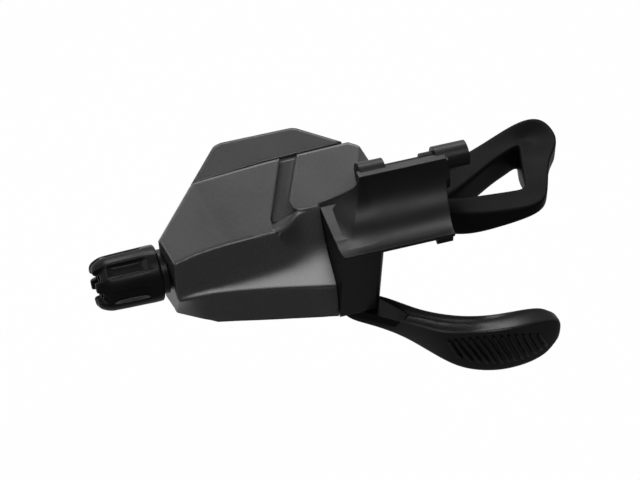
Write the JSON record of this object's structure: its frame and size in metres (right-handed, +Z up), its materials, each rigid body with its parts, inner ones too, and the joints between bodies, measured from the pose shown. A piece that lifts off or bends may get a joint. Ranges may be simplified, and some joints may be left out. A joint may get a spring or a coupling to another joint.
{
  "type": "trigger gear shifter",
  "caption": "Handlebar trigger gear shifter: grey housing with a ribbed cable adjuster, bar saddle with strap hinge, ribbed thumb paddle and looped release lever over a ratchet spool.",
  "frame": {"origin": "on the handlebar's axis, in the middle of the seat's rear lip", "axes": "+X along the handlebar towards its end, +Y forward, +Z up along the lever axle"},
  "size_m": [0.121, 0.0655, 0.0397],
  "materials": {
    "black_moulding": "satin black moulding",
    "lever_black": "satin black moulding",
    "grey_cover": "satin metallic dark grey",
    "strip_grey": "satin charcoal",
    "knob_black": "satin black moulding",
    "spool_plastic": "natural grey acetal",
    "dark_steel": "black oxide",
    "bright_steel": "zinc plated"
  },
  "bodies": {
    "base": {"base_bracket": "black_moulding", "hinge_pin": "dark_steel", "hinge_clip": "dark_steel", "housing_cover": "grey_cover", "cover_strip": "strip_grey", "bottom_cap": "black_moulding", "cover_screws": "dark_steel", "main_axle": "bright_steel", "axle_clip": "bright_steel", "spool_spring": "bright_steel", "thumb_spring": "bright_steel", "holding_pawl_pin": "bright_steel", "holding_pawl_spring": "bright_steel", "release_spring": "bright_steel"},
    "spool": {"cable_spool": "spool_plastic", "ratchet_plate": "bright_steel"},
    "thumb_lever": {"thumb_lever_plate": "dark_steel", "thumb_paddle": "lever_black", "feed_pawl_pin": "bright_steel", "feed_pawl_spring": "bright_steel"},
    "feed_pawl": {"feed_pawl": "bright_steel"},
    "holding_pawl": {"holding_pawl": "bright_steel"},
    "release_lever": {"release_plate": "dark_steel", "release_trigger": "lever_black"},
    "knob": {"adjuster_knob": "knob_black"},
    "bolt": {"adjuster_bolt": "dark_steel"}
  },
  "joints": [
    {"name": "thumb_swing", "type": "hinge", "parent": "base", "child": "thumb_lever", "pos_m": [-0.018, 0.024, -0.0346], "axis": [0, 0, 1], "range_deg": [0, 30], "stiffness_Nm_per_rad": 0.2, "springref_deg": -22.92},
    {"name": "release_swing", "type": "hinge", "parent": "base", "child": "release_lever", "pos_m": [-0.018, 0.024, -0.0269], "axis": [0, 0, 1], "range_deg": [-10, 10], "stiffness_Nm_per_rad": 0.2},
    {"name": "spool_turn", "type": "hinge", "parent": "base", "child": "spool", "pos_m": [-0.018, 0.024, -0.0216], "axis": [0, 0, 1], "range_deg": [0, 150]},
    {"name": "feed_pawl_tip", "type": "hinge", "parent": "thumb_lever", "child": "feed_pawl", "pos_m": [-0.03469, 0.02816, -0.0249], "axis": [0, 0, 1], "range_deg": [0, 8.5], "stiffness_Nm_per_rad": 0.001},
    {"name": "holding_pawl_tip", "type": "hinge", "parent": "base", "child": "holding_pawl", "pos_m": [-0.02995, 0.01163, -0.0249], "axis": [0, 0, 1], "range_deg": [0, 8.5], "stiffness_Nm_per_rad": 0.001},
    {"name": "knob_turn", "type": "hinge", "parent": "base", "child": "knob", "pos_m": [-0.0623, 0.014, -0.0216], "axis": [1, 0, 0], "range_deg": [-720, 720]},
    {"name": "bolt_travel", "type": "slide", "parent": "base", "child": "bolt", "axis": [-1, 0, 0], "range_m": [-0.0016, 0.0016]}
  ],
  "couplings": [
    {"joint": "knob_turn", "follows": "bolt_travel", "rad_per_m": 7853}
  ]
}
